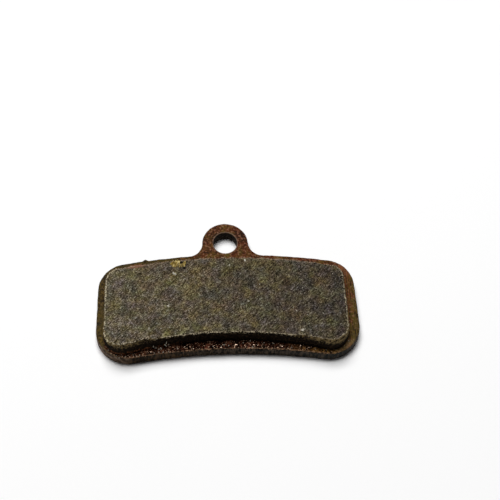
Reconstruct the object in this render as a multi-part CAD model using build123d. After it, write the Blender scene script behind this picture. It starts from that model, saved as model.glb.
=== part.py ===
from build123d import *
from math import hypot, radians, tan
import os

# Bicycle disc brake pad: a blanked steel backing plate with a pin lug, and a friction lining moulded
# and bonded onto its face. Millimetres. The origin is on the pin hole's axis in the plate's back face,
# +X runs along the pad, +Y points to the lug and +Z points out of the friction face.

# Pin hole and lug
pin_hole_diameter = 3.4
lug_wall = 1.6              # ring of metal round the pin hole
neck_radius = 2.2           # concave fillets where the lug grows out of the plate
hole_edge_break = 0.15      # rounding of the hole's front rim

# Backing plate
plate_length = 36.4         # between the end faces at mid height
plate_height = 15.15        # crown to arch on the centre line
plate_thickness = 1.8
pin_to_crown = 1.95         # pin axis down to the top edge on the centre line
plate_crown_radius = 88.0   # convex top edge
plate_arch_radius = 82.0    # concave lower edge, which clears the rotor's arms
plate_end_taper = 2.2       # degrees, the end faces lean in towards the lug
plate_crown_corner = 4.2
plate_arch_corner = 4.5
die_roll = 0.25             # rounded front edge that blanking leaves
burr_chamfer = 0.1          # back edge broken after blanking

# Friction lining
lining_thickness = 2.2
end_lip = 1.35              # bare plate left beside the lining's foot at each end
crown_lip = 1.65            # the same above it, on the centre line
arch_lip = 1.35             # the same below it, on the centre line
lining_shift = -0.3         # the moulding sits slightly off the plate's centre line
lining_crown_radius = 77.0
lining_arch_radius = 54.0
lining_end_taper = 1.6      # degrees
lining_crown_corner = 2.1
lining_arch_corner = 2.6
lining_draft = 2.0          # degrees, so that the moulding leaves its die
lining_edge_radius = 0.2    # worn rim of the friction face


def arched_profile(length, height, crown_y, crown_radius, arch_radius, end_taper, crown_corner, arch_corner):
    # A strip with leaning ends, cut to a convex arc above and a concave arc below, with round corners.
    middle_y = crown_y - height / 2
    lean = height * tan(radians(end_taper))
    upper_y = middle_y + height
    lower_y = middle_y - height
    upper_half = length / 2 - lean
    lower_half = length / 2 + lean
    strip = Polygon(
        (-lower_half, lower_y), (lower_half, lower_y), (upper_half, upper_y), (-upper_half, upper_y),
        align=None,
    )
    crown_disc = Pos(0, crown_y - crown_radius) * Circle(crown_radius)
    arch_disc = Pos(0, crown_y - height - arch_radius) * Circle(arch_radius)
    profile = (strip & crown_disc) - arch_disc
    profile = fillet(profile.vertices().sort_by(Axis.Y)[-2:], crown_corner)
    return fillet(profile.vertices().sort_by(Axis.Y)[:2], arch_corner)


def backing_plate():
    body = arched_profile(
        plate_length, plate_height, -pin_to_crown, plate_crown_radius, plate_arch_radius,
        plate_end_taper, plate_crown_corner, plate_arch_corner,
    )
    lug_radius = pin_hole_diameter / 2 + lug_wall
    outline = body + Rot(0, 0, 90) * Circle(lug_radius)
    on_lug = outline.vertices().filter_by(lambda v: abs(hypot(v.X, v.Y) - lug_radius) < 1e-4)
    outline = fillet(on_lug.sort_by(Axis.Y)[:2], neck_radius)
    blank = extrude(outline - Circle(pin_hole_diameter / 2), plate_thickness)
    front = blank.faces().sort_by(Axis.Z)[-1]
    blank = fillet(front.outer_wire().edges(), die_roll)
    front = blank.faces().sort_by(Axis.Z)[-1]
    blank = fillet(front.inner_wires()[0].edges(), hole_edge_break)
    back = blank.faces().sort_by(Axis.Z)[0]
    return chamfer(back.outer_wire().edges(), burr_chamfer)


def friction_lining():
    foot = arched_profile(
        plate_length - 2 * end_lip, plate_height - crown_lip - arch_lip, -pin_to_crown - crown_lip,
        lining_crown_radius, lining_arch_radius, lining_end_taper, lining_crown_corner, lining_arch_corner,
    )
    block = extrude(foot, lining_thickness, taper=lining_draft)
    face = block.faces().sort_by(Axis.Z)[-1]
    block = fillet(face.outer_wire().edges(), lining_edge_radius)
    return Pos(lining_shift, 0, plate_thickness) * block


os.makedirs("parts", exist_ok=True)
export_step(backing_plate(), "parts/backing_plate.step")
export_step(friction_lining(), "parts/friction_lining.step")
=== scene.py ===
import math
import random

import bpy
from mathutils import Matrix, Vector, kdtree, noise


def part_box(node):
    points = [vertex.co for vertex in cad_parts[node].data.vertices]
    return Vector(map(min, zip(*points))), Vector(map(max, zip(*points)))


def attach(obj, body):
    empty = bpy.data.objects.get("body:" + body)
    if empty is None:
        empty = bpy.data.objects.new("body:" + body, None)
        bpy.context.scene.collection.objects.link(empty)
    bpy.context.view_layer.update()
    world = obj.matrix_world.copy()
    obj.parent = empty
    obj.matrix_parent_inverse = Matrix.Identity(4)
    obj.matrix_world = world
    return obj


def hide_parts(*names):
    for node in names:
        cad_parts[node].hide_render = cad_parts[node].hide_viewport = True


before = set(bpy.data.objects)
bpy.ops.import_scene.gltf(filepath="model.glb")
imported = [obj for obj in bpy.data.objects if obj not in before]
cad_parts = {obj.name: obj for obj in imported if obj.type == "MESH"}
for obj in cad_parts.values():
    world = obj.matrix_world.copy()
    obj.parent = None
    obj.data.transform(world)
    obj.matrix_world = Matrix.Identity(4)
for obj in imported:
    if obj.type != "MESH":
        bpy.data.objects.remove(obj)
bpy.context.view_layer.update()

mm = 0.001               # the frame is in metres, every size below is in millimetres
plateLow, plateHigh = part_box("backing_plate")
liningLow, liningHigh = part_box("friction_lining")
print("frame loaded:", sorted(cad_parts))

# node settings that every finish uses
blend = {"data_type": "RGBA"}                             # Mix: share in 0, colours in 6 and 7, result in 2
tint = {"data_type": "RGBA", "blend_type": "MULTIPLY"}    # the same, with colour 7 as a filter over colour 6
blendValue = {"data_type": "FLOAT"}                       # Mix: share in 0, values in 2 and 3, result in 0
add = {"operation": "ADD"}                                # Math: values in 0, 1 and 2
multiply = {"operation": "MULTIPLY"}
multiplyAdd = {"operation": "MULTIPLY_ADD"}


def hexToLinear(hexColour):
    # sRGB hex, turned into the linear colour that sockets take
    channels = [int(hexColour[i:i + 2], 16) / 255 for i in (1, 3, 5)]
    linear = [c / 12.92 if c <= 0.04045 else ((c + 0.055) / 1.055) ** 2.4 for c in channels]
    return (*linear, 1.0)


def linkUp(tree, node, links):
    # links are given as socket: (source node, its output)
    for socket, (source, output) in links.items():
        tree.links.new(source.outputs[output], node.inputs[socket])


def addNode(tree, kind, settings=None, values=None, links=None):
    # one shader node: attributes, with colour ramp stops or a range's zone among them, socket values, links
    node = tree.nodes.new(kind)
    for name, value in (settings or {}).items():
        if name == "stops":
            while len(node.color_ramp.elements) < len(value):
                node.color_ramp.elements.new(0.5)
            for element, (position, hexColour) in zip(node.color_ramp.elements, value):
                element.position = position
                element.color = hexToLinear(hexColour)
        elif name == "zone":    # where it starts, where it ends, and the amounts there if not 0 and 1
            for socket, limit in zip(("From Min", "From Max", "To Min", "To Max"), value):
                node.inputs[socket].default_value = limit
        else:
            setattr(node, name, value)
    for socket, value in (values or {}).items():
        node.inputs[socket].default_value = value
    linkUp(tree, node, links or {})
    return node


def newMaterial(name, surface):
    # an empty tree with its output, a Principled shader and Object coordinates in millimetres
    material = bpy.data.materials.new(name)
    material.use_nodes = True
    tree = material.node_tree
    tree.nodes.clear()
    shader = addNode(tree, "ShaderNodeBsdfPrincipled", values=surface)
    addNode(tree, "ShaderNodeOutputMaterial", links={"Surface": (shader, "BSDF")})
    place = addNode(tree, "ShaderNodeTexCoord")
    millimetres = addNode(tree, "ShaderNodeMapping", values={"Scale": (1 / mm, 1 / mm, 1 / mm)},
                          links={"Vector": (place, "Object")})
    return material, tree, shader, millimetres


def selectOnly(*pieces):
    bpy.ops.object.select_all(action="DESELECT")
    for piece in pieces:
        piece.select_set(True)
    bpy.context.view_layer.objects.active = pieces[0]


def skinOfNode(nodeName, pieceName, voxelMm):
    # an even, fine-meshed copy of a CAD node, for relief that its few big faces cannot carry
    piece = bpy.data.objects.new(pieceName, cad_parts[nodeName].data.copy())
    bpy.context.scene.collection.objects.link(piece)
    selectOnly(piece)
    bpy.ops.object.mode_set(mode="EDIT")
    bpy.ops.mesh.select_all(action="SELECT")
    bpy.ops.mesh.remove_doubles(threshold=0.001 * mm)
    bpy.ops.object.mode_set(mode="OBJECT")
    remesh = piece.modifiers.new("evenSkin", "REMESH")
    remesh.mode = "VOXEL"
    remesh.voxel_size = voxelMm * mm
    bpy.ops.object.modifier_apply(modifier=remesh.name)
    bpy.ops.object.shade_smooth()
    return piece


def fillGroup(piece, groupName, weights):
    group = piece.vertex_groups.new(name=groupName)
    for index, weight in enumerate(weights):
        if weight > 0:
            group.add([index], weight, "REPLACE")


def fillAttribute(piece, attributeName, values):
    attribute = piece.data.attributes.new(attributeName, "FLOAT", "POINT")
    attribute.data.foreach_set("value", values)


def roughen(piece, groupName, grainMm, heightMm, level=0.5, depth=2):
    # one Displace pass with cloud noise on a vertex group, applied straight away
    clouds = bpy.data.textures.new(groupName + "Relief", "CLOUDS")
    clouds.noise_scale = grainMm * mm
    clouds.noise_depth = depth
    displace = piece.modifiers.new("relief", "DISPLACE")
    displace.texture = clouds
    displace.texture_coords = "LOCAL"
    displace.vertex_group = groupName
    displace.strength = heightMm * mm
    displace.mid_level = level
    selectOnly(piece)
    bpy.ops.object.modifier_apply(modifier=displace.name)


def ramp01(value, start, end):
    # 0 before start, 1 after end, smooth between
    t = min(1.0, max(0.0, (value - start) / (end - start)))
    return t * t * (3 - 2 * t)


def stainAt(place, stains):
    # 1 in the middle of an oval stain (x, y, half length, half width, turn), 0 outside all of them
    most = 0.0
    for x, y, halfLength, halfWidth, turn in stains:
        dx, dy = place.x / mm - x, place.y / mm - y
        c, s = math.cos(math.radians(turn)), math.sin(math.radians(turn))
        reach = math.hypot((dx * c + dy * s) / halfLength, (dy * c - dx * s) / halfWidth)
        most = max(most, 1 - ramp01(reach, 0.5, 1.1))
    return most


# Ground friction face: resin-bonded compound of matted fibres and mineral filler, surface-ground after
# moulding. Dead matt, gritty, olive and tan fibres over darker gaps, grains of other hues, slow patches.
groundFace = {
    "surface": {"Roughness": 0.9, "Specular IOR Level": 0.1},
    "fibreLays": ((46, 0.72), (-20, 0.3), (105, 0.3)),     # turn in degrees, share
    "layShiftMm": (7.3, 3.1, 0.0), "fibreLengthMm": 0.68, "fibreWidthMm": 0.11,
    "gritMm": 0.15, "gritShare": 1.08, "clumpMm": 1.7, "clumpShare": 0.36, "contrast": 1.09,
    "tones": ((0.0, "#171309"), (0.25, "#3a3427"), (0.5, "#585143"), (0.75, "#777164"), (1.0, "#a5a093")),
    # painted shade: the tone falls off towards the right, as light from the left would make it
    "paintedFalloffZone": (-16.0, 16.0, 0.035, -0.14),               # darker towards the right
    "grainMm": 0.3, "grains": ("#f0e6ea", "#f4efcc", "#e0f0de", "#f2e6d2", "#e4ecf4"), "grainTint": 0.18,
    "patches": (("#f6f2b0", 11.0), ("#f8e4f2", 15.0), ("#d6f0e2", 19.0), ("#ffe6d0", 23.0)),   # hue, seed
    "patchMm": 1.6, "patchZone": (0.47, 0.66, 0.0, 0.52),
    "washes": ((0.34, "#f2f0ff"), (0.5, "#fdf9f0"), (0.66, "#fffbd6")),
    "rightTint": "#eeeeff", "rightZone": (-2.0, 14.0),     # and cooler
    "rust": "#74503f", "rimTan": "#aa9d84", "rimBreaks": (0.38, 0.58),
    "rimLeft": "#c6ba9c", "rimLeftZone": (-13.0, -16.5),   # paler at the left end
    "rimRear": "#8c7460", "rimRearZone": (-6.5, -4.2, 0.0, 0.9),   # darker and warmer at the rear
    # the pit colour is painted shade: near black laid into the two pits
    "torn": ((0.42, "#070403"), (0.6, "#30251a")), "pit": "#0c0805", "bumpMm": 0.05,
}


def makeGroundFace(s):
    material, tree, shader, mmNode = newMaterial("groundFrictionCompound", s["surface"])
    layers = []
    for turn, (angle, share) in enumerate(s["fibreLays"]):
        lay = addNode(tree, "ShaderNodeMapping", {"vector_type": "TEXTURE"},
                      {"Rotation": (0, 0, math.radians(angle)),
                       "Location": [turn * shift for shift in s["layShiftMm"]],
                       "Scale": (s["fibreLengthMm"], s["fibreWidthMm"], s["fibreWidthMm"])},
                      {"Vector": (mmNode, "Vector")})
        fibres = addNode(tree, "ShaderNodeTexNoise", values={"Scale": 1.0, "Detail": 0.0, "Distortion": 0.3},
                         links={"Vector": (lay, "Vector")})
        layers.append((fibres, share))
    grit = addNode(tree, "ShaderNodeTexNoise", values={"Scale": 1 / s["gritMm"], "Detail": 0.0},
                   links={"Vector": (mmNode, "Vector")})
    layers.append((grit, s["gritShare"]))
    height = None
    for layer, share in layers:
        start = {2: (height, "Value")} if height else {}
        height = addNode(tree, "ShaderNodeMath", multiplyAdd, {1: share, 2: 0.0},
                         {0: (layer, "Fac"), **start})
    clump = addNode(tree, "ShaderNodeTexNoise",
                    values={"Scale": 1 / s["clumpMm"], "Detail": 2.0, "Roughness": 0.6},
                    links={"Vector": (mmNode, "Vector")})
    axes = addNode(tree, "ShaderNodeSeparateXYZ", links={"Vector": (mmNode, "Vector")})
    # painted shade: the face's tone falls off towards the right, standing in for light falling from the left
    drift = addNode(tree, "ShaderNodeMapRange", {"zone": s["paintedFalloffZone"]}, links={"Value": (axes, "X")})
    slow = addNode(tree, "ShaderNodeMath", multiplyAdd, {1: s["clumpShare"]},
                   {0: (clump, "Fac"), 2: (drift, "Result")})
    shade = addNode(tree, "ShaderNodeMath", multiplyAdd, {1: s["contrast"]},
                    {0: (height, "Value"), 2: (slow, "Value")})
    middle = 0.5 * (sum(share for layer, share in layers) * s["contrast"] + s["clumpShare"])
    level = addNode(tree, "ShaderNodeMath", {"operation": "SUBTRACT"}, {1: middle - 0.5},
                    {0: (shade, "Value")})
    tone = addNode(tree, "ShaderNodeValToRGB", {"stops": s["tones"]}, links={"Fac": (level, "Value")})
    cells = addNode(tree, "ShaderNodeTexVoronoi", values={"Scale": 1 / s["grainMm"]},
                    links={"Vector": (mmNode, "Vector")})
    pick = addNode(tree, "ShaderNodeSeparateColor", links={"Color": (cells, "Color")})
    hues = [(0.1 + 0.2 * i, hue) for i, hue in enumerate(s["grains"])]
    grain = addNode(tree, "ShaderNodeValToRGB", {"stops": hues}, links={"Fac": (pick, "Red")})
    colour = addNode(tree, "ShaderNodeMix", tint, {0: s["grainTint"]},
                     {6: (tone, "Color"), 7: (grain, "Color")})
    for hue, seed in s["patches"]:
        spread = addNode(tree, "ShaderNodeTexNoise", {"noise_dimensions": "4D"},
                         {"Scale": 1 / s["patchMm"], "Detail": 3.0, "Roughness": 0.6, "W": seed},
                         {"Vector": (mmNode, "Vector")})
        amount = addNode(tree, "ShaderNodeMapRange", {"zone": s["patchZone"]},
                         links={"Value": (spread, "Fac")})
        colour = addNode(tree, "ShaderNodeMix", tint, {7: hexToLinear(hue)},
                         {0: (amount, "Result"), 6: (colour, 2)})
    wash = addNode(tree, "ShaderNodeValToRGB", {"stops": s["washes"]}, links={"Fac": (clump, "Fac")})
    colour = addNode(tree, "ShaderNodeMix", tint, {0: 1.0}, {6: (colour, 2), 7: (wash, "Color")})
    along = addNode(tree, "ShaderNodeMapRange", {"zone": s["rightZone"]}, links={"Value": (axes, "X")})
    colour = addNode(tree, "ShaderNodeMix", tint, {7: hexToLinear(s["rightTint"])},
                     {0: (along, "Result"), 6: (colour, 2)})
    rust = addNode(tree, "ShaderNodeAttribute", {"attribute_name": "rust"})
    colour = addNode(tree, "ShaderNodeMix", blend, {7: hexToLinear(s["rust"])},
                     {0: (rust, "Fac"), 6: (colour, 2)})
    wear = addNode(tree, "ShaderNodeAttribute", {"attribute_name": "rimWear"})
    broken = addNode(tree, "ShaderNodeMapRange", {"zone": s["rimBreaks"]}, links={"Value": (grit, "Fac")})
    worn = addNode(tree, "ShaderNodeMath", multiply, links={0: (wear, "Fac"), 1: (broken, "Result")})
    leftEnd = addNode(tree, "ShaderNodeMapRange", {"zone": s["rimLeftZone"]}, links={"Value": (axes, "X")})
    rear = addNode(tree, "ShaderNodeMapRange", {"zone": s["rimRearZone"]}, links={"Value": (axes, "Y")})
    tan = addNode(tree, "ShaderNodeMix", blend, {6: hexToLinear(s["rimTan"]), 7: hexToLinear(s["rimLeft"])},
                  {0: (leftEnd, "Result")})
    tan = addNode(tree, "ShaderNodeMix", blend, {7: hexToLinear(s["rimRear"])},
                  {0: (rear, "Result"), 6: (tan, 2)})
    colour = addNode(tree, "ShaderNodeMix", blend, links={0: (worn, "Value"), 6: (colour, 2), 7: (tan, 2)})
    torn = addNode(tree, "ShaderNodeAttribute", {"attribute_name": "torn"})
    inside = addNode(tree, "ShaderNodeValToRGB", {"stops": s["torn"]}, links={"Fac": (grit, "Fac")})
    colour = addNode(tree, "ShaderNodeMix", blend,
                     links={0: (torn, "Fac"), 6: (colour, 2), 7: (inside, "Color")})
    # painted shade: near black laid into the pits, where shade falls in them
    pit = addNode(tree, "ShaderNodeAttribute", {"attribute_name": "pit"})
    colour = addNode(tree, "ShaderNodeMix", blend, {7: hexToLinear(s["pit"])},
                     {0: (pit, "Fac"), 6: (colour, 2)})
    bump = addNode(tree, "ShaderNodeBump", values={"Strength": 0.5, "Distance": s["bumpMm"] * mm},
                   links={"Height": (height, "Value")})
    linkUp(tree, shader, {"Base Color": (colour, 2), "Normal": (bump, "Normal")})
    return material


# Moulded side of the lining: the same compound with the die's resin skin still on it, too rough to shine,
# and nearly black, its own dark tone deepened as painted shade on the sides turned from the lamp.
# Frayed to brown fibre under the rim, most at the ends, and wet with resin at the left foot.
mouldedSide = {
    "surface": {"Roughness": 0.95, "Specular IOR Level": 0.05},
    "skinAndShade": ((0.5, "#100904"), (0.75, "#38291b")), "crumbMm": 0.3, "ragged": 1.6, "bumpMm": 0.12,
    "fray": "#6c5c3e", "frayZone": (0.68, 0.98),           # share of the wall's height
    "frayLeft": (-12.0, -17.0, -0.26, 0.06), "frayRight": (9.0, 16.5, -0.26, 0.17),
    "foot": "#8e5a3c", "footZone": (0.2, 0.02), "footRagged": 0.7, "footLeft": (-5.0, -9.0, 0.0, 0.9),
}


def makeMouldedSide(s):
    material, tree, shader, mmNode = newMaterial("mouldedResinSkin", s["surface"])
    crumbs = addNode(tree, "ShaderNodeTexNoise",
                     values={"Scale": 1 / s["crumbMm"], "Detail": 3.0, "Roughness": 0.65},
                     links={"Vector": (mmNode, "Vector")})
    # the resin skin's dark tone, deepened as painted shade
    tone = addNode(tree, "ShaderNodeValToRGB", {"stops": s["skinAndShade"]}, links={"Fac": (crumbs, "Fac")})
    up = addNode(tree, "ShaderNodeAttribute", {"attribute_name": "wallUp"})
    ragged = addNode(tree, "ShaderNodeMath", multiplyAdd, {1: s["ragged"], 2: -0.5 * s["ragged"]},
                     {0: (crumbs, "Fac")})
    axes = addNode(tree, "ShaderNodeSeparateXYZ", links={"Vector": (mmNode, "Vector")})
    left = addNode(tree, "ShaderNodeMapRange", {"zone": s["frayLeft"]}, links={"Value": (axes, "X")})
    right = addNode(tree, "ShaderNodeMapRange", {"zone": s["frayRight"]}, links={"Value": (axes, "X")})
    ends = addNode(tree, "ShaderNodeMath", {"operation": "MAXIMUM"},
                   links={0: (left, "Result"), 1: (right, "Result")})
    worn = addNode(tree, "ShaderNodeMath", add, links={0: (up, "Fac"), 1: (ends, "Value")})
    reach = addNode(tree, "ShaderNodeMath", add, links={0: (worn, "Value"), 1: (ragged, "Value")})
    amount = addNode(tree, "ShaderNodeMapRange", {"zone": s["frayZone"]}, links={"Value": (reach, "Value")})
    wetLeft = addNode(tree, "ShaderNodeMapRange", {"zone": s["footLeft"]}, links={"Value": (axes, "X")})
    creep = addNode(tree, "ShaderNodeMath", multiplyAdd, {1: s["footRagged"]},
                    {0: (ragged, "Value"), 2: (up, "Fac")})
    wet = addNode(tree, "ShaderNodeMapRange", {"zone": s["footZone"]},
                  links={"Value": (creep, "Value"), "To Max": (wetLeft, "Result")})
    foot = addNode(tree, "ShaderNodeMix", blend, {7: hexToLinear(s["foot"])},
                   {0: (wet, "Result"), 6: (tone, "Color")})
    fray = addNode(tree, "ShaderNodeMix", blend, {7: hexToLinear(s["fray"])},
                   {0: (amount, "Result"), 6: (foot, 2)})
    bump = addNode(tree, "ShaderNodeBump", values={"Strength": 0.8, "Distance": s["bumpMm"] * mm},
                   links={"Height": (crumbs, "Fac")})
    linkUp(tree, shader, {"Base Color": (fray, 2), "Normal": (bump, "Normal")})
    return material


# Baked coating on the plate: thin brown primer over steel, matt and gritty. Red-brown round the lug, orange
# to the right, dark olive to the left, with darker stains, pinkish scuffs that are partly painted
# highlights, rubbed lines at the right end, painted light at the wall's foot, and wear with a painted
# highlight round the hole and on the rolled shoulder.
bakedCoat = {
    "surface": {"Roughness": 0.8, "Specular IOR Level": 0.1},
    "hues": ((0.34, "#52270f"), (0.44, "#583516"), (0.52, "#5c3e18"), (0.6, "#544315"), (0.8, "#463a1b"),
             (0.96, "#2a2312")),
    "hueMm": 1.2, "hueLeft": (-3.0, -9.0, 0.0, 0.34), "hueRight": (16.8, 18.2, -0.07, 0.12),
    "hueLow": (-10.5, -14.0, 0.0, 0.14), "hueLowRight": (10.0, 14.0), "frontZone": (0.4, 1.4),
    "dark": "#1d120a", "darkZone": (0.54, 0.36, 0.0, 0.95), "driftMm": 2.0, "driftShare": 0.4,
    "speckMm": 0.29, "lineMm": (0.15, 1.6), "lineZone": (15.4, 16.4, 0.0, 0.75),
    # the scuff colour is scuffs and painted highlights both
    "scuffAndHighlight": "#926c5a", "scuffZone": (0.56, 0.7),
    "scuffLeft": (-8.0, -3.0, 0.15, 0.6), "scuffRight": (9.0, 3.0, 0.4, 0.6),
    # the paler brown after the rust is painted light for the shaded lip at the wall's foot
    # the ring colour is wear and a painted highlight, round the hole and on the rolled shoulder
    "rust": "#704629", "shadowLift": "#a58a62", "ring": "#86705f", "bumpMm": 0.05,
}


def makeBakedCoat(s):
    material, tree, shader, mmNode = newMaterial("bakedBrownCoating", s["surface"])
    axes = addNode(tree, "ShaderNodeSeparateXYZ", links={"Vector": (mmNode, "Vector")})
    hueNoise = addNode(tree, "ShaderNodeTexNoise",
                       values={"Scale": 1 / s["hueMm"], "Detail": 3.0, "Roughness": 0.65},
                       links={"Vector": (mmNode, "Vector")})
    left = addNode(tree, "ShaderNodeMapRange", {"zone": s["hueLeft"]}, links={"Value": (axes, "X")})
    right = addNode(tree, "ShaderNodeMapRange", {"zone": s["hueRight"]}, links={"Value": (axes, "X")})
    low = addNode(tree, "ShaderNodeMapRange", {"zone": s["hueLow"]}, links={"Value": (axes, "Y")})
    lowRight = addNode(tree, "ShaderNodeMapRange", {"zone": s["hueLowRight"]},
                       links={"Value": (axes, "X"), "To Max": (low, "Result")})
    ends = addNode(tree, "ShaderNodeMath", add, links={0: (left, "Result"), 1: (right, "Result")})
    shift = addNode(tree, "ShaderNodeMath", add, links={0: (ends, "Value"), 1: (lowRight, "Result")})
    front = addNode(tree, "ShaderNodeMapRange", {"zone": s["frontZone"]}, links={"Value": (axes, "Z")})
    hueAt = addNode(tree, "ShaderNodeMath", multiplyAdd,
                    links={0: (shift, "Value"), 1: (front, "Result"), 2: (hueNoise, "Fac")})
    hue = addNode(tree, "ShaderNodeValToRGB", {"stops": s["hues"]}, links={"Fac": (hueAt, "Value")})
    drift = addNode(tree, "ShaderNodeTexNoise",
                    values={"Scale": 1 / s["driftMm"], "Detail": 3.0, "Roughness": 0.6},
                    links={"Vector": (mmNode, "Vector")})
    speck = addNode(tree, "ShaderNodeTexNoise",
                    values={"Scale": 1 / s["speckMm"], "Detail": 1.0, "Roughness": 0.6},
                    links={"Vector": (mmNode, "Vector")})
    mottle = addNode(tree, "ShaderNodeMix", blendValue, {0: s["driftShare"]},
                     {2: (speck, "Fac"), 3: (drift, "Fac")})
    width, length = s["lineMm"]
    along = addNode(tree, "ShaderNodeMapping", values={"Scale": (1 / width, 1 / length, 1.0)},
                    links={"Vector": (mmNode, "Vector")})
    lines = addNode(tree, "ShaderNodeTexNoise", values={"Scale": 1.0, "Detail": 1.0},
                    links={"Vector": (along, "Vector")})
    brushed = addNode(tree, "ShaderNodeMapRange", {"zone": s["lineZone"]}, links={"Value": (axes, "X")})
    rubbed = addNode(tree, "ShaderNodeMath", multiply, links={0: (brushed, "Result"), 1: (front, "Result")})
    grime = addNode(tree, "ShaderNodeMix", blendValue,
                    links={0: (rubbed, "Value"), 2: (mottle, 0), 3: (lines, "Fac")})
    dull = addNode(tree, "ShaderNodeMapRange", {"zone": s["darkZone"]}, links={"Value": (grime, 0)})
    bareLeft = addNode(tree, "ShaderNodeMapRange", {"zone": s["scuffLeft"]}, links={"Value": (axes, "X")})
    bareRight = addNode(tree, "ShaderNodeMapRange", {"zone": s["scuffRight"]}, links={"Value": (axes, "X")})
    bare = addNode(tree, "ShaderNodeMath", {"operation": "MINIMUM"},
                   links={0: (bareLeft, "Result"), 1: (bareRight, "Result")})
    high = addNode(tree, "ShaderNodeMapRange", {"zone": s["scuffZone"]},
                   links={"Value": (speck, "Fac"), "To Max": (bare, "Value")})
    rust = addNode(tree, "ShaderNodeAttribute", {"attribute_name": "rust"})
    stain = addNode(tree, "ShaderNodeMix", blend, {7: hexToLinear(s["rust"])},
                    {0: (rust, "Fac"), 6: (hue, "Color")})
    dark = addNode(tree, "ShaderNodeMix", blend, {7: hexToLinear(s["dark"])},
                   {0: (dull, "Result"), 6: (stain, 2)})
    # pinkish scuffs, partly painted highlights on the gritty coat
    scuffAndHighlight = addNode(tree, "ShaderNodeMix", blend, {7: hexToLinear(s["scuffAndHighlight"])},
                    {0: (high, "Result"), 6: (dark, 2)})
    # painted light: a paler brown laid on the lip at the wall's foot, where the wall's shadow falls
    nook = addNode(tree, "ShaderNodeAttribute", {"attribute_name": "nook"})
    lit = addNode(tree, "ShaderNodeMath", multiply, links={0: (nook, "Fac"), 1: (speck, "Fac")})
    clean = addNode(tree, "ShaderNodeMix", blend, {7: hexToLinear(s["shadowLift"])},
                    {0: (lit, "Value"), 6: (scuffAndHighlight, 2)})
    # painted highlight as well as wear: a paler ring round the hole and a paler line on the rolled shoulder
    wear = addNode(tree, "ShaderNodeAttribute", {"attribute_name": "edgeWear"})
    ring = addNode(tree, "ShaderNodeMix", blend, {7: hexToLinear(s["ring"])},
                   {0: (wear, "Fac"), 6: (clean, 2)})
    bump = addNode(tree, "ShaderNodeBump", values={"Strength": 0.6, "Distance": s["bumpMm"] * mm},
                   links={"Height": (speck, "Fac")})
    linkUp(tree, shader, {"Base Color": (ring, 2), "Normal": (bump, "Normal")})
    return material


# Bonding resin that ran out below the lining and cured on the lip: dark red-brown, lumpy and wet, with pale
# specks that are painted glints, paler at the lining's foot as painted light against the wall's shadow, a
# thin golden film to the right, and a tan line along the plate's edge that is wear and a painted highlight.
bondResin = {
    "surface": {"Roughness": 0.2, "Specular IOR Level": 0.1, "Specular Tint": hexToLinear("#ffd2b4")},
    "outer": ((0.4, "#070201"), (0.54, "#240d06"), (0.72, "#603426")),
    # the second ramp is paler: painted light for the resin in the wall's shadow
    "litInner": ((0.34, "#24110a"), (0.5, "#683a24"), (0.68, "#a87858")),
    "right": ((0.36, "#20150a"), (0.5, "#6a4a1e"), (0.68, "#a88449")), "rightZone": (8.0, 13.0, 0.0, 0.85),
    "lumpMm": 0.3, "poolMm": 1.1, "poolShare": 0.7, "bumpMm": 0.24,
    # the pale speck colour is painted glints on the wet resin
    "speck": "#dcb496", "speckMm": 0.17, "glintSpeckZone": (0.69, 0.75, 0.0, 0.9),
    # the tan edge colour is wear and a painted highlight on the rolled edge
    "edge": "#98785c", "edgeBreaks": (0.35, 0.6),
}


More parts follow.
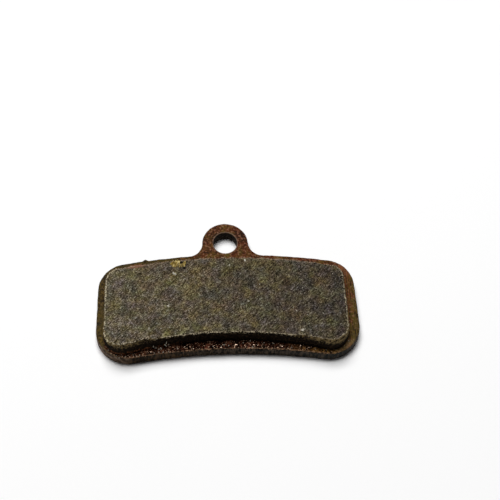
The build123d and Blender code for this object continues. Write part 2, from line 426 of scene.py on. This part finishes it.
def makeBondResin(s):
    material, tree, shader, mmNode = newMaterial("curedBondResin", s["surface"])
    lumps = addNode(tree, "ShaderNodeTexNoise",
                    values={"Scale": 1 / s["lumpMm"], "Detail": 2.0, "Roughness": 0.6},
                    links={"Vector": (mmNode, "Vector")})
    pools = addNode(tree, "ShaderNodeTexNoise", values={"Scale": 1 / s["poolMm"], "Detail": 1.0},
                    links={"Vector": (mmNode, "Vector")})
    wash = addNode(tree, "ShaderNodeMath", multiplyAdd, {1: s["poolShare"], 2: -0.5 * s["poolShare"]},
                   {0: (pools, "Fac")})
    thick = addNode(tree, "ShaderNodeMath", add, links={0: (lumps, "Fac"), 1: (wash, "Value")})
    outer = addNode(tree, "ShaderNodeValToRGB", {"stops": s["outer"]}, links={"Fac": (thick, "Value")})
    litInner = addNode(tree, "ShaderNodeValToRGB", {"stops": s["litInner"]}, links={"Fac": (thick, "Value")})
    # painted light: the paler ramp lifts the resin at the wall's foot, where the wall's shadow falls
    nook = addNode(tree, "ShaderNodeAttribute", {"attribute_name": "nook"})
    tone = addNode(tree, "ShaderNodeMix", blend,
                   links={0: (nook, "Fac"), 6: (outer, "Color"), 7: (litInner, "Color")})
    axes = addNode(tree, "ShaderNodeSeparateXYZ", links={"Vector": (mmNode, "Vector")})
    thin = addNode(tree, "ShaderNodeMapRange", {"zone": s["rightZone"]}, links={"Value": (axes, "X")})
    film = addNode(tree, "ShaderNodeValToRGB", {"stops": s["right"]}, links={"Fac": (thick, "Value")})
    tone = addNode(tree, "ShaderNodeMix", blend,
                   links={0: (thin, "Result"), 6: (tone, 2), 7: (film, "Color")})
    # painted glints: pale specks scattered over the resin where it sparkles
    dust = addNode(tree, "ShaderNodeTexNoise", values={"Scale": 1 / s["speckMm"], "Detail": 0.0},
                   links={"Vector": (mmNode, "Vector")})
    lit = addNode(tree, "ShaderNodeMapRange", {"zone": s["glintSpeckZone"]}, links={"Value": (dust, "Fac")})
    paintedGlints = addNode(tree, "ShaderNodeMix", blend, {7: hexToLinear(s["speck"])},
                     {0: (lit, "Result"), 6: (tone, 2)})
    # painted highlight as well as wear: a broken tan line on the plate's rolled edge
    wear = addNode(tree, "ShaderNodeAttribute", {"attribute_name": "edgeWear"})
    rubbed = addNode(tree, "ShaderNodeMapRange", {"zone": s["edgeBreaks"]}, links={"Value": (lumps, "Fac")})
    amount = addNode(tree, "ShaderNodeMath", multiply, links={0: (wear, "Fac"), 1: (rubbed, "Result")})
    edge = addNode(tree, "ShaderNodeMix", blend, {7: hexToLinear(s["edge"])},
                   {0: (amount, "Value"), 6: (paintedGlints, 2)})
    facets = addNode(tree, "ShaderNodeMath", add, links={0: (lumps, "Fac"), 1: (dust, "Fac")})
    bump = addNode(tree, "ShaderNodeBump", values={"Strength": 1.0, "Distance": s["bumpMm"] * mm},
                   links={"Height": (facets, "Value")})
    linkUp(tree, shader, {"Base Color": (edge, 2), "Normal": (bump, "Normal")})
    return material


# Sheared edge of the blank: steel torn by the die and blackened in the oven. Dull, dark grey-brown, with
# upright score lines and smears of coating, greyer to the right, paler at the left corner as painted light,
# even behind.
shearedEdge = {
    "surface": {"Roughness": 0.7, "Specular IOR Level": 0.04},
    "steel": ((0.42, "#050302"), (0.62, "#54483c")), "scoreMm": 0.22, "runMm": 1.0, "bumpMm": 0.04,
    "smear": ((0.42, "#120b05"), (0.62, "#4c3a25")), "smearMm": 0.8,
    "smearLeft": (0.0, -9.0, -0.12, 0.2), "smearZone": (0.42, 0.66, 0.0, 0.9),
    "right": "#363b3a", "rightZone": (4.0, 15.0, 0.0, 0.35),
    # the corner ramp is painted light, paler where light from the left falls on the corner
    "corner": ((0.42, "#3c2e22"), (0.6, "#9a8270")), "cornerLitZone": (-13.2, -15.2, 0.0, 0.75),
    "behind": "#261e16", "behindZone": (-13.5, -9.0, 0.0, 0.8),
}


def makeShearedEdge(s):
    material, tree, shader, mmNode = newMaterial("shearedSteelEdge", s["surface"])
    upright = addNode(tree, "ShaderNodeMapping",
                      values={"Scale": (1 / s["scoreMm"], 1 / s["scoreMm"], 1 / s["runMm"])},
                      links={"Vector": (mmNode, "Vector")})
    score = addNode(tree, "ShaderNodeTexNoise", values={"Scale": 1.0, "Detail": 2.0, "Roughness": 0.6},
                    links={"Vector": (upright, "Vector")})
    tone = addNode(tree, "ShaderNodeValToRGB", {"stops": s["steel"]}, links={"Fac": (score, "Fac")})
    film = addNode(tree, "ShaderNodeValToRGB", {"stops": s["smear"]}, links={"Fac": (score, "Fac")})
    smears = addNode(tree, "ShaderNodeTexNoise",
                     values={"Scale": 1 / s["smearMm"], "Detail": 3.0, "Roughness": 0.6},
                     links={"Vector": (mmNode, "Vector")})
    axes = addNode(tree, "ShaderNodeSeparateXYZ", links={"Vector": (mmNode, "Vector")})
    left = addNode(tree, "ShaderNodeMapRange", {"zone": s["smearLeft"]}, links={"Value": (axes, "X")})
    cover = addNode(tree, "ShaderNodeMath", add, links={0: (smears, "Fac"), 1: (left, "Result")})
    amount = addNode(tree, "ShaderNodeMapRange", {"zone": s["smearZone"]}, links={"Value": (cover, "Value")})
    coated = addNode(tree, "ShaderNodeMix", blend,
                     links={0: (amount, "Result"), 6: (tone, "Color"), 7: (film, "Color")})
    right = addNode(tree, "ShaderNodeMapRange", {"zone": s["rightZone"]}, links={"Value": (axes, "X")})
    greyed = addNode(tree, "ShaderNodeMix", blend, {7: hexToLinear(s["right"])},
                     {0: (right, "Result"), 6: (coated, 2)})
    # painted light: the left corner of the edge is made paler, as where light from the left falls on it
    corner = addNode(tree, "ShaderNodeMapRange", {"zone": s["cornerLitZone"]}, links={"Value": (axes, "X")})
    rubbed = addNode(tree, "ShaderNodeValToRGB", {"stops": s["corner"]}, links={"Fac": (smears, "Fac")})
    worn = addNode(tree, "ShaderNodeMix", blend,
                   links={0: (corner, "Result"), 6: (greyed, 2), 7: (rubbed, "Color")})
    behind = addNode(tree, "ShaderNodeMapRange", {"zone": s["behindZone"]}, links={"Value": (axes, "Y")})
    colour = addNode(tree, "ShaderNodeMix", blend, {7: hexToLinear(s["behind"])},
                     {0: (behind, "Result"), 6: (worn, 2)})
    bump = addNode(tree, "ShaderNodeBump", values={"Strength": 0.5, "Distance": s["bumpMm"] * mm},
                   links={"Height": (score, "Fac")})
    linkUp(tree, shader, {"Base Color": (colour, 2), "Normal": (bump, "Normal")})
    return material


# Friction lining: the CAD block with a gritty face, two pits, a chipped rim and ragged sides
liningSettings = {
    "voxelMm": 0.11, "gritMm": 0.4, "gritHeightMm": 0.05, "chipMm": 0.8, "chipDepthMm": -0.5,
    "nickMm": 0.26, "nickDepthMm": -0.17, "ragMm": 0.45, "ragDepthMm": 0.22, "bondDepthMm": 0.08,
    "rimLean": (0.3, 0.9), "rimAboveMm": 1.0,              # the rounded rim: its normals' z, least height
    "faceBelowMm": (0.5, 0.1), "sideLean": (-0.7, -0.3), "sideAboveMm": 0.3,
    "chipBandMm": (0.05, 0.45), "wornBandMm": (0.05, 0.22),                # distances from the rim
    "pits": ((-6.3, -4.52, 0.34, 0.35), (-5.95, -5.32, 0.26, 0.2)),        # x, y, radius, depth
    # crumbled stretches of the lower rim: x where it starts, is full, fades and ends, reach, depth
    "crumbled": ((-16.2, -14.6, -11.4, -9.6, 0.3, 0.3), (8.6, 10.0, 15.4, 16.6, 0.26, 0.22)),
    "crumbMm": 0.45, "crumbShare": 0.8, "leastCrumbMm": 0.03, "archSideMm": (12, 14),
    # the rim is ground face down to this lean, and torn open further along the arch, most at its ends
    "faceLean": 0.4, "openLean": 0.42, "openBelowMm": (11.5, 12.5), "openEndsMm": (6, 9),
    "rust": ((-12.75, -4.88, 1.6, 0.36, 8),),              # x, y, half length, half width, turn
}


def makeLining(s):
    piece = skinOfNode("friction_lining", "lining_block", s["voxelMm"])
    top, foot = liningHigh.z, liningLow.z
    rimLow = foot + s["rimAboveMm"] * mm
    points = piece.data.vertices
    rimTree = kdtree.KDTree(len(points))
    for point in points:
        if s["rimLean"][0] < point.normal.z < s["rimLean"][1] and point.co.z > rimLow:
            rimTree.insert(point.co, point.index)
    rimTree.balance()
    toRim = [rimTree.find(point.co)[2] / mm for point in points]
    faceFrom, faceFull = (top - depth * mm for depth in s["faceBelowMm"])
    upper = [ramp01(point.co.z, faceFrom, faceFull) for point in points]
    sideFull = foot + s["sideAboveMm"] * mm
    side = [ramp01(-abs(point.normal.z), *s["sideLean"]) * ramp01(point.co.z, foot, sideFull)
            for point in points]
    fillGroup(piece, "face", [height * (1 - edge) for height, edge in zip(upper, side)])
    fillGroup(piece, "rim", [(1 - ramp01(away, *s["chipBandMm"])) * height
                             for away, height in zip(toRim, upper)])
    fillGroup(piece, "side", side)

    lost = [0.0] * len(points)      # how far the rim has crumbled back here
    drop = [0.0] * len(points)      # and how deep
    for start, full, fade, end, reach, depth in s["crumbled"]:
        for point in points:
            x, y = point.co.x / mm, point.co.y / mm
            along = ramp01(x, start, full) * (1 - ramp01(x, fade, end)) * ramp01(-y, *s["archSideMm"])
            if along > 0:
                crumb = noise.noise(point.co / (s["crumbMm"] * mm))
                lost[point.index] = reach * along * (1 + s["crumbShare"] * crumb)
                drop[point.index] = depth * along
    fillAttribute(piece, "rimWear", [
        (1 - ramp01(away - gone, *s["wornBandMm"])) * ramp01(away - gone, -0.1, 0) * height
        for away, gone, height in zip(toRim, lost, upper)])
    fillAttribute(piece, "torn", [
        1 - ramp01(away, gone - 0.06, gone + 0.02) if gone > s["leastCrumbMm"] else 0.0
        for away, gone in zip(toRim, lost)])
    # painted shade in the pits: their circles, to be filled with near black
    pitShadeOvals = [(x, y, radius, radius, 0) for x, y, radius, depth in s["pits"]]
    fillAttribute(piece, "wallUp", [(point.co.z - foot) / (top - foot) for point in points])
    fillAttribute(piece, "rust", [stainAt(point.co, s["rust"]) for point in points])
    fillAttribute(piece, "pit", [stainAt(point.co, pitShadeOvals) for point in points])

    for point, away, gone, depth in zip(points, toRim, lost, drop):
        if gone > s["leastCrumbMm"]:
            loss = (1 - ramp01(away, 0.3 * gone, gone)) * ramp01(point.co.z, top - 0.9 * mm, top - 0.2 * mm)
            point.co.z -= depth * loss * mm
    for point in points:
        if point.co.z < foot + 0.02 * mm:
            point.co.z -= s["bondDepthMm"] * mm  # pressed into the glue line, so no gap shows at the foot
        for x, y, radius, depth in s["pits"]:
            away = math.hypot(point.co.x / mm - x, point.co.y / mm - y) / radius
            if away < 1 and point.co.z > top - 0.4 * mm:
                point.co.z -= depth * mm * (1 - ramp01(away, 0.3, 1.0))
    roughen(piece, "face", s["gritMm"], s["gritHeightMm"])
    roughen(piece, "rim", s["chipMm"], s["chipDepthMm"], level=0.38, depth=3)
    roughen(piece, "rim", s["nickMm"], s["nickDepthMm"], level=0.5, depth=1)
    roughen(piece, "side", s["ragMm"], s["ragDepthMm"], depth=3)

    piece.data.materials.clear()
    piece.data.materials.append(makeGroundFace(groundFace))
    piece.data.materials.append(makeMouldedSide(mouldedSide))
    for face in piece.data.polygons:
        x, y = face.center.x / mm, face.center.y / mm
        torn = ramp01(-y, *s["openBelowMm"]) * (0.5 + 0.5 * ramp01(abs(x), *s["openEndsMm"]))
        isFace = face.normal.z > s["faceLean"] + s["openLean"] * torn and face.center.z > rimLow
        face.material_index = 0 if isFace else 1
    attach(piece, "root")
    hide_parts("friction_lining")
    print("lining modelled:", len(piece.data.polygons), "faces")


# Backing plate: the CAD blank with a gritty coat, lumps of resin on its lower lip and a nib on its top edge
plateSettings = {
    "voxelMm": 0.125, "gritMm": 0.5, "gritHeightMm": 0.05, "waveMm": 1.3, "waveDepthMm": 0.11,
    "lumpMm": 0.36, "lumpHeightMm": 0.14,
    "frontBelowMm": (0.35, 0.1), "edgeLean": (-0.8, -0.4), "edgeAboveMm": (0.1, 0.4),
    "holeRimMm": (1.9, 2.3),                               # radius where the ring of wear and painted highlight round the hole ends
    "archCentreMm": -69.75, "archRadiusMm": 54.0,          # the arch of the lining's foot
    "resinEndsMm": (15.6, 17.6), "resinTopMm": (-0.1, 0.3),
    "footCornerMm": (-14.6, -14.9), "footCornerRadiusMm": 2.6,             # its lower left corner
    "cornerLeftMm": (13.2, 14.2), "cornerBelowMm": (15.8, 16.5), "cornerReachMm": (0.2, 0.55),
    # painted light in the nook along the foot: width, how it grows to both ends and fades round the corners
    "nookMm": 1.1, "nookMiddle": 0.22, "nookEndsMm": (6, 13), "nookAboveMm": (-14, -12),
    "nookCornerXMm": (13.5, 15), "nookCornerYMm": (-16.8, -15.6),
    "nookFadeMm": (13, 15), "nookFadeLeft": 0.7, "nookFadeRight": 0.5,
    # the lower left corner gets a share of the same painted light
    "cornerLightShare": 0.3, "cornerNookMm": (0.0, 0.5),
    "nibAt": (-11.5, -2.7), "nibRadiusMm": 0.5, "nibHeightMm": 0.26,
    "rust": ((16.6, -4.9, 1.6, 0.7, -50), (-12.8, -3.5, 1.3, 0.2, 7)),
}


def makePlate(s):
    piece = skinOfNode("backing_plate", "plate_blank", s["voxelMm"])
    top, back = plateHigh.z, plateLow.z
    points = piece.data.vertices

    def archAt(x):
        # y of the lower edge of the lining's foot
        return s["archCentreMm"] + math.sqrt(s["archRadiusMm"] ** 2 - x * x)

    def cornerAt(x, y, band):
        # 1 round the lining's lower left corner, out to some distance from its foot
        reach = math.hypot(x - s["footCornerMm"][0], y - s["footCornerMm"][1]) - s["footCornerRadiusMm"]
        return ramp01(-x, *s["cornerLeftMm"]) * ramp01(-y, *s["cornerBelowMm"]) * (1 - ramp01(reach, *band))

    def resinAt(place):
        # 1 on the lip below the lining and round its left corner, 0 elsewhere
        x, y = place.x / mm, place.y / mm
        above = ramp01(y, *(archAt(x) + step for step in s["resinTopMm"]))
        ends = ramp01(abs(x), *s["resinEndsMm"])
        return max((1 - above) * (1 - ends), cornerAt(x, y, s["cornerReachMm"]))

    def nookLightAt(place):
        # 1 at the foot of the lining's lower wall, where painted light lifts its shadow on the lip, 0 where
        # the lip lies open
        x, y = place.x / mm, place.y / mm
        ends = s["nookMiddle"] + (1 - s["nookMiddle"]) * ramp01(abs(x), *s["nookEndsMm"])
        corner = ramp01(abs(x), *s["nookCornerXMm"]) * ramp01(y, *s["nookCornerYMm"])
        below = (1 - ramp01(archAt(x) - y, 0, s["nookMm"])) * (1 - ramp01(y, *s["nookAboveMm"]))
        right = 1 - s["nookFadeRight"] * ramp01(x, *s["nookFadeMm"])
        left = 1 - s["nookFadeLeft"] * ramp01(-x, *s["nookFadeMm"])
        arch = below * (1 - corner) * ends * right * left
        return max(arch, s["cornerLightShare"] * cornerAt(x, y, s["cornerNookMm"]))

    frontFrom, frontFull = (top - depth * mm for depth in s["frontBelowMm"])
    edgeFrom, edgeFull = (back + height * mm for height in s["edgeAboveMm"])
    holeFrom, holeFull = (radius * mm for radius in s["holeRimMm"])
    front = [ramp01(point.co.z, frontFrom, frontFull) for point in points]
    edge = [ramp01(-abs(point.normal.z), *s["edgeLean"]) * ramp01(point.co.z, edgeFrom, edgeFull)
            for point in points]
    hole = [ramp01(point.co.to_2d().length, holeFrom, holeFull) for point in points]
    fillGroup(piece, "front", [height * away for height, away in zip(front, hole)])
    fillGroup(piece, "edge", [side * away for side, away in zip(edge, hole)])
    fillGroup(piece, "resin", [resinAt(point.co) * height * ramp01(point.normal.z, 0.6, 0.95)
                               for point, height in zip(points, front)])
    # the rolled shoulder between front and edge, worn and given a painted highlight along the resin and
    # round the hole
    shoulder = [height * ramp01(-point.normal.z, -0.975, -0.88) * ramp01(point.normal.z, 0.55, 0.72)
                for point, height in zip(points, front)]
    fillAttribute(piece, "edgeWear", [bend * max(1 - away, resinAt(point.co))
                                      for bend, away, point in zip(shoulder, hole, points)])
    fillAttribute(piece, "rust", [stainAt(point.co, s["rust"]) for point in points])
    # painted light: where the lip lies in the wall's shadow, to be lifted towards a paler colour
    fillAttribute(piece, "nook", [nookLightAt(point.co) * height for point, height in zip(points, front)])
    roughen(piece, "front", s["gritMm"], s["gritHeightMm"], level=0.45)
    roughen(piece, "resin", s["lumpMm"], s["lumpHeightMm"], level=0.35, depth=1)
    roughen(piece, "edge", s["waveMm"], s["waveDepthMm"], depth=3)
    nib = Vector(s["nibAt"]) * mm
    for point in points:
        away = (point.co.to_2d() - nib).length / (s["nibRadiusMm"] * mm)
        if away < 1 and point.normal.y > 0.2:
            point.co.y += s["nibHeightMm"] * mm * (1 - ramp01(away, 0, 1))

    piece.data.materials.clear()
    piece.data.materials.append(makeBakedCoat(bakedCoat))
    piece.data.materials.append(makeShearedEdge(shearedEdge))
    piece.data.materials.append(makeBondResin(bondResin))
    for face in piece.data.polygons:
        if abs(face.normal.z) < 0.45 and face.center.z < top - 0.12 * mm:
            face.material_index = 1
        elif face.center.z > top - 0.3 * mm and resinAt(face.center) > 0.5:
            face.material_index = 2
    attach(piece, "root")
    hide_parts("backing_plate")
    print("plate modelled:", len(piece.data.polygons), "faces")


def makeMottled(materialName, s):
    # a mottled colour without relief, enough for grains that are a pixel or two across
    material, tree, shader, mmNode = newMaterial(materialName, s["surface"])
    mottle = addNode(tree, "ShaderNodeTexNoise",
                     values={"Scale": 1 / s["mottleMm"], "Detail": 2.0, "Roughness": s["mottleRough"]},
                     links={"Vector": (mmNode, "Vector")})
    tone = addNode(tree, "ShaderNodeValToRGB", {"stops": s["tones"]}, links={"Fac": (mottle, "Fac")})
    linkUp(tree, shader, {"Base Color": (tone, "Color")})
    return material


def scatter(pieceName, grains, jitterMm, material):
    # small solids shaped one by one and joined; a grain is place and size in mm and turn in degrees
    bpy.ops.object.select_all(action="DESELECT")
    made = []
    for number, (place, size, turn) in enumerate(grains):
        bpy.ops.mesh.primitive_ico_sphere_add(subdivisions=2, radius=0.5 * mm, location=Vector(place) * mm,
                                              rotation=[math.radians(angle) for angle in turn], scale=size)
        bpy.ops.object.mode_set(mode="EDIT")
        bpy.ops.transform.vertex_random(offset=jitterMm * mm, seed=number)
        bpy.ops.object.mode_set(mode="OBJECT")
        made.append(bpy.context.object)
    selectOnly(*made)
    bpy.ops.object.join()
    bpy.ops.object.transform_apply(location=True, rotation=True, scale=True)
    piece = bpy.context.object
    piece.name = pieceName
    piece.data.materials.append(material)
    bpy.ops.object.shade_smooth_by_angle(angle=math.radians(40))
    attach(piece, "root")
    print(pieceName, "modelled:", len(grains), "grains")


# Aramid fibre: straw-yellow and silky, mottled darker and paler as painted shade between the strands and
# painted highlights on them
aramidFibre = {
    "surface": {"Roughness": 0.55, "Specular IOR Level": 0.3},
    "tones": ((0.36, "#4e3e10"), (0.52, "#93792a"), (0.68, "#dcca8c")), "mottleMm": 0.3, "mottleRough": 0.6,
}

# Tuft of aramid torn up by the grinding wheel at the top edge of the face, left of the first pit
tuftSettings = {
    "middle": (-6.75, -4.62), "spread": (1.0, 0.4), "riseMm": (-0.02, 0.07), "clearOfPitMm": 0.3,
    "strands": 64, "lengthMm": 0.6, "lengthShare": (0.6, 1.2), "widthMm": 0.1, "widthShare": (0.7, 1.3),
    "thickMm": 0.12, "leanDeg": 76, "tumbleDeg": (12, 8, 28), "jitterMm": 0.04, "seed": 5,
}


def makeTuft(s):
    dice = random.Random(s["seed"])
    pitX, pitY = liningSettings["pits"][0][:2]
    strands = []
    for number in range(s["strands"]):
        across = (number + 0.5) / s["strands"] * 2 - 1
        place = (s["middle"][0] + across * s["spread"][0],
                 s["middle"][1] + dice.uniform(-1, 1) * s["spread"][1],
                 liningHigh.z / mm + dice.uniform(*s["riseMm"]))
        size = (s["lengthMm"] * dice.uniform(*s["lengthShare"]),
                s["widthMm"] * dice.uniform(*s["widthShare"]), s["thickMm"])
        tumble = [dice.uniform(-angle, angle) for angle in s["tumbleDeg"]]
        if math.hypot(place[0] - pitX, place[1] - pitY) > s["clearOfPitMm"]:
            strands.append((place, size, (tumble[0], tumble[1], s["leanDeg"] + tumble[2])))
    scatter("aramid_tuft", strands, s["jitterMm"], makeMottled("aramidFibre", aramidFibre))


# Pale mineral grain: quartz and chalk filler, off-white and matt
paleMineral = {
    "surface": {"Roughness": 0.7, "Specular IOR Level": 0.3},
    "tones": ((0.38, "#857d6c"), (0.58, "#b8b2a4")), "mottleMm": 0.25, "mottleRough": 0.5,
}

# Pale filler grains that show: large ones in the face by place, small ones strewn over it, torn needles
# along the foot of the lower wall, and pale crumbs in the resin on the lip, which partly stand in as painted
# glints
grainSettings = {
    "large": ((-7.47, -6.16, 0.5), (-7.2, -6.35, 0.35), (-8.3, -11.4, 0.42), (-8.15, -11.15, 0.3),
              (-10.93, -14.84, 0.42), (2.63, -4.3, 0.45), (10.15, -15.54, 0.55), (0.41, -5.08, 0.36)),
    "largeSunkMm": 0.02, "largeThickMm": 0.16,             # the places are x, y, length
    "small": 40, "smallMm": (0.1, 0.2), "strewnX": (-15.5, 15), "strewnY": (-15, -5.2), "smallSunkMm": 0.01,
    "lipGlintCrumbs": ((-7.09, -16.95, 0.16), (-2.21, -16.7, 0.15), (-1.07, -16.72, 0.18), (-0.67, -16.5, 0.2),
            (-0.05, -16.6, 0.16), (-10.75, -17.4, 0.2), (-10.3, -17.5, 0.16), (-9.68, -17.4, 0.18),
            (-9.08, -17.4, 0.14), (-8.32, -17.35, 0.16), (-14.78, -17.6, 0.2), (-13.86, -17.8, 0.18),
            (-13.18, -17.75, 0.16), (-12.27, -17.75, 0.18), (-15.68, -17.3, 0.16), (13.4, -17.6, 0.18),
            (3.25, -16.95, 0.16), (4.89, -16.3, 0.16), (6.12, -16.42, 0.2), (-16.6, -16.9, 0.14),
            (-15.1, -18.1, 0.14), (-12.7, -18.0, 0.14), (11.9, -17.5, 0.14), (8.6, -17.1, 0.16),
            (-16.2, -17.5, 0.14), (-15.5, -17.75, 0.16), (-14.3, -18.0, 0.14), (-13.5, -17.5, 0.14),
            (-16.9, -16.2, 0.13), (16.6, -16.3, 0.14), (15.9, -17.0, 0.13), (14.7, -17.7, 0.14)),
    "lipRiseMm": 0.06, "crumbThickMm": 0.1,
    "needles": ((-10.4, -16.85, 2.5, 0.8), (-10.1, -16.9, 2.2, 0.6), (-8.73, -16.62, 2.35, 0.7),
                (-8.6, -16.6, 3.1, 0.6), (-9.34, -16.95, 2.05, 0.5), (-8.3, -16.65, 2.6, 0.5),
                (-9.7, -17.05, 1.95, 0.4), (1.97, -16.3, 1.95, 0.35), (2.96, -16.05, 2.0, 0.4)),
    "needleMm": 0.12, "needleLeanDeg": 30,                 # the places are x, y, z, length
    "jitterMm": 0.05, "seed": 11,
}


def makeGrains(s):
    dice = random.Random(s["seed"])
    faceLevel, lipLevel = liningHigh.z / mm, plateHigh.z / mm
    grains = []
    for x, y, size in s["large"]:
        grains.append(((x, y, faceLevel - s["largeSunkMm"]), (size, size * 0.7, s["largeThickMm"]),
                       (0, 0, dice.uniform(0, 180))))
    for number in range(s["small"]):
        size = dice.uniform(*s["smallMm"])
        place = (dice.uniform(*s["strewnX"]), dice.uniform(*s["strewnY"]), faceLevel - s["smallSunkMm"])
        grains.append((place, (size, size * 0.8, s["crumbThickMm"]), (0, 0, dice.uniform(0, 180))))
    # painted glints in part: pale crumbs set on the lip where the resin sparkles
    for x, y, size in s["lipGlintCrumbs"]:
        grains.append(((x, y, lipLevel + s["lipRiseMm"]), (size, size * 0.7, s["crumbThickMm"]),
                       (0, 0, dice.uniform(0, 180))))
    lean = s["needleLeanDeg"]
    for x, y, z, length in s["needles"]:
        grains.append(((x, y, z), (s["needleMm"], s["needleMm"], length),
                       (dice.uniform(-lean, lean), dice.uniform(-lean, lean), 0)))
    scatter("mineral_grains", grains, s["jitterMm"], makeMottled("paleMineralGrain", paleMineral))


# Steel chip: bare metal torn from wool in the compound, bright where a flat of it faces a lamp
steelChip = {
    "surface": {"Metallic": 1.0, "Roughness": 0.2},
    "tones": ((0.4, "#4a382c"), (0.5, "#8f7a6a")), "mottleMm": 0.3, "mottleRough": 0.5,
}

# Bright chips caught in the resin on the lower lip, lying so that they glint towards the front
chipSettings = {
    "places": ((1.01, -16.58, 0.46), (3.42, -16.65, 0.28), (3.96, -16.71, 0.32), (7.32, -17.01, 0.3),
               (9.94, -16.91, 0.3), (11.06, -17.28, 0.28), (-4.88, -17.0, 0.24), (-7.17, -16.63, 0.24),
               (-6.1, -16.74, 0.26), (-1.07, -16.95, 0.36), (-10.75, -17.4, 0.24), (-13.86, -17.8, 0.2)),
    "riseMm": 0.1, "thickMm": 0.04, "widthShare": (0.6, 0.9), "leanDeg": 13.5, "wobbleDeg": 1.5,
    "fanDeg": 0.16,                                        # extra turn for each mm from the middle
    "jitterMm": 0.006, "seed": 3,
}


def makeChips(s):
    dice = random.Random(s["seed"])
    level = plateHigh.z / mm + s["riseMm"]
    wobble = s["wobbleDeg"]
    chips = []
    for x, y, size in s["places"]:
        width = size * dice.uniform(*s["widthShare"])
        lean = s["leanDeg"] + dice.uniform(-wobble, wobble)
        fan = dice.uniform(-wobble, wobble) - s["fanDeg"] * x
        chips.append(((x, y, level), (size, width, s["thickMm"]), (lean, fan, 0)))
    scatter("steel_chips", chips, s["jitterMm"], makeMottled("bareSteelChip", steelChip))


makeLining(liningSettings)
makePlate(plateSettings)
makeTuft(tuftSettings)
makeGrains(grainSettings)
makeChips(chipSettings)


# Studio: white table, a softbox above and behind and next to no fill, so that the sides turned to the camera
# stay dark, and a pea-sized lamp overhead that only shows as glints in resin and metal
studio = {
    "floorSize": 2.4, "floor": "#fefefe", "surround": 0.015, "aimAt": (0, -0.009, 0),
    "keyAt": (-0.1, 0.28, 0.82), "keySize": 0.5, "keyPower": 8.4,
    "fillAt": (-0.05, 0.10, 1.0), "fillSize": 0.9, "fillPower": 0.4,
    "glintAt": (0.0, -0.02, 0.9), "glintSize": 0.012, "glintPower": 0.16,
}


def makeStudio(s):
    bpy.ops.object.select_all(action="DESELECT")
    bpy.ops.mesh.primitive_plane_add(size=s["floorSize"], location=(0, 0, 0))
    floor = bpy.context.object
    floor.name = "studio_floor"
    material = bpy.data.materials.new("whiteTable")
    material.use_nodes = True
    tree = material.node_tree
    tree.nodes.clear()
    matt = addNode(tree, "ShaderNodeBsdfDiffuse", values={"Color": hexToLinear(s["floor"])})
    addNode(tree, "ShaderNodeOutputMaterial", links={"Surface": (matt, "BSDF")})
    floor.data.materials.append(material)
    world = bpy.data.worlds.new("studioSurround")
    bpy.context.scene.world = world
    world.use_nodes = True
    tree = world.node_tree
    tree.nodes.clear()
    sky = addNode(tree, "ShaderNodeBackground", values={"Color": (1, 1, 1, 1), "Strength": s["surround"]})
    addNode(tree, "ShaderNodeOutputWorld", links={"Surface": (sky, "Background")})
    for name in ("key", "fill", "glint"):
        bpy.ops.object.light_add(type="AREA", location=s[name + "At"])
        lamp = bpy.context.object
        lamp.name = name + "Light"
        lamp.data.size = s[name + "Size"]
        lamp.data.energy = s[name + "Power"]
        aim = Vector(s["aimAt"]) - lamp.location
        lamp.rotation_euler = aim.to_track_quat("-Z", "Y").to_euler()
    print("studio lit")


# Camera at the photograph's angle, for a square 500 by 500 frame
cameraSettings = {
    "atMm": (-5.851, -101.259, 168.233), "turnDeg": (31.0546, -1.7799, -2.4116), "lens": 97.32,
    "sensorMm": 36, "nearestMm": 10,
}


def makeCamera(s):
    bpy.ops.object.camera_add(location=Vector(s["atMm"]) * mm,
                              rotation=[math.radians(angle) for angle in s["turnDeg"]])
    camera = bpy.context.object
    camera.data.sensor_width = s["sensorMm"]
    camera.data.lens = s["lens"]
    camera.data.clip_start = s["nearestMm"] * mm
    bpy.context.scene.camera = camera
    print("camera set")


makeStudio(studio)
makeCamera(cameraSettings)
bpy.context.scene.view_settings.view_transform = "Standard"
